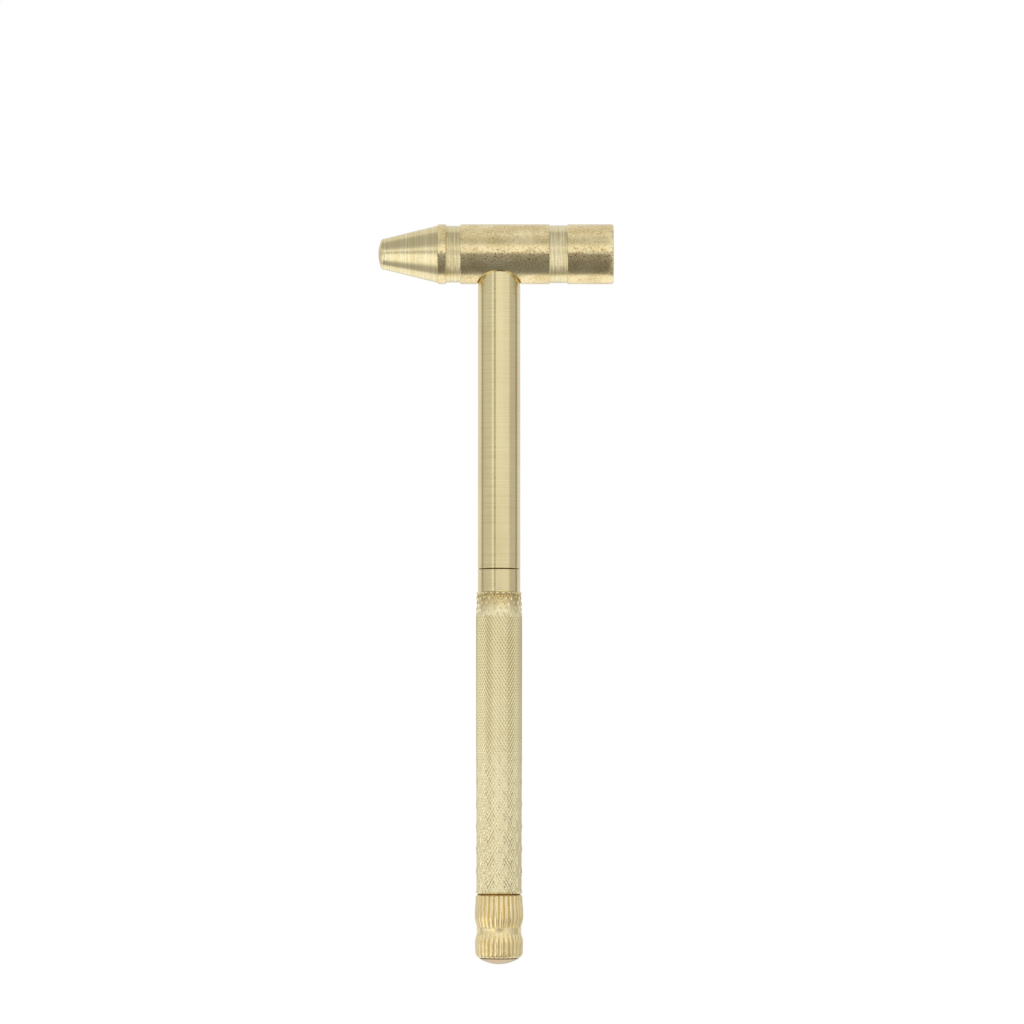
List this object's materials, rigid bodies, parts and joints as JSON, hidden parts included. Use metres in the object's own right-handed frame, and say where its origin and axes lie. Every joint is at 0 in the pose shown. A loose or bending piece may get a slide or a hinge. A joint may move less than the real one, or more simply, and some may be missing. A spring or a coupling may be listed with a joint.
{
  "type": "bench hammer",
  "caption": "Small all-brass bench hammer with a tapered nose, a flat striking face and screwdrivers nested in its knurled handle.",
  "frame": {"origin": "lowest point of the tail knob's dome, on the shaft's axis", "axes": "+Z along the shaft, from the tail knob to the head; +X along the head, from the nose to the striking face"},
  "size_m": [0.051, 0.013, 0.16],
  "materials": {
    "head_brass": "turned and antiqued",
    "shaft_brass": "satin",
    "grip_brass": "matt, diamond knurled",
    "knob_brass": "bright, straight fluted",
    "blade_steel": "ground"
  },
  "bodies": {
    "head": {"hammer_head": "head_brass", "shaft_tube": "shaft_brass"},
    "grip": {"grip_handle": "grip_brass", "large_blade": "blade_steel"},
    "medium_driver": {"medium_barrel": "shaft_brass", "medium_blade": "blade_steel"},
    "small_driver": {"small_barrel": "shaft_brass", "small_blade": "blade_steel"},
    "knob": {"tail_knob": "knob_brass", "fine_blade": "blade_steel"}
  },
  "joints": [
    {"name": "grip_draw", "type": "slide", "parent": "head", "child": "grip", "axis": [0, 0, -1], "range_m": [0, 0.065]},
    {"name": "medium_draw", "type": "slide", "parent": "grip", "child": "medium_driver", "axis": [0, 0, -1], "range_m": [0, 0.062]},
    {"name": "small_draw", "type": "slide", "parent": "medium_driver", "child": "small_driver", "axis": [0, 0, -1], "range_m": [0, 0.036]},
    {"name": "knob_draw", "type": "slide", "parent": "small_driver", "child": "knob", "axis": [0, 0, -1], "range_m": [0, 0.026]}
  ]
}
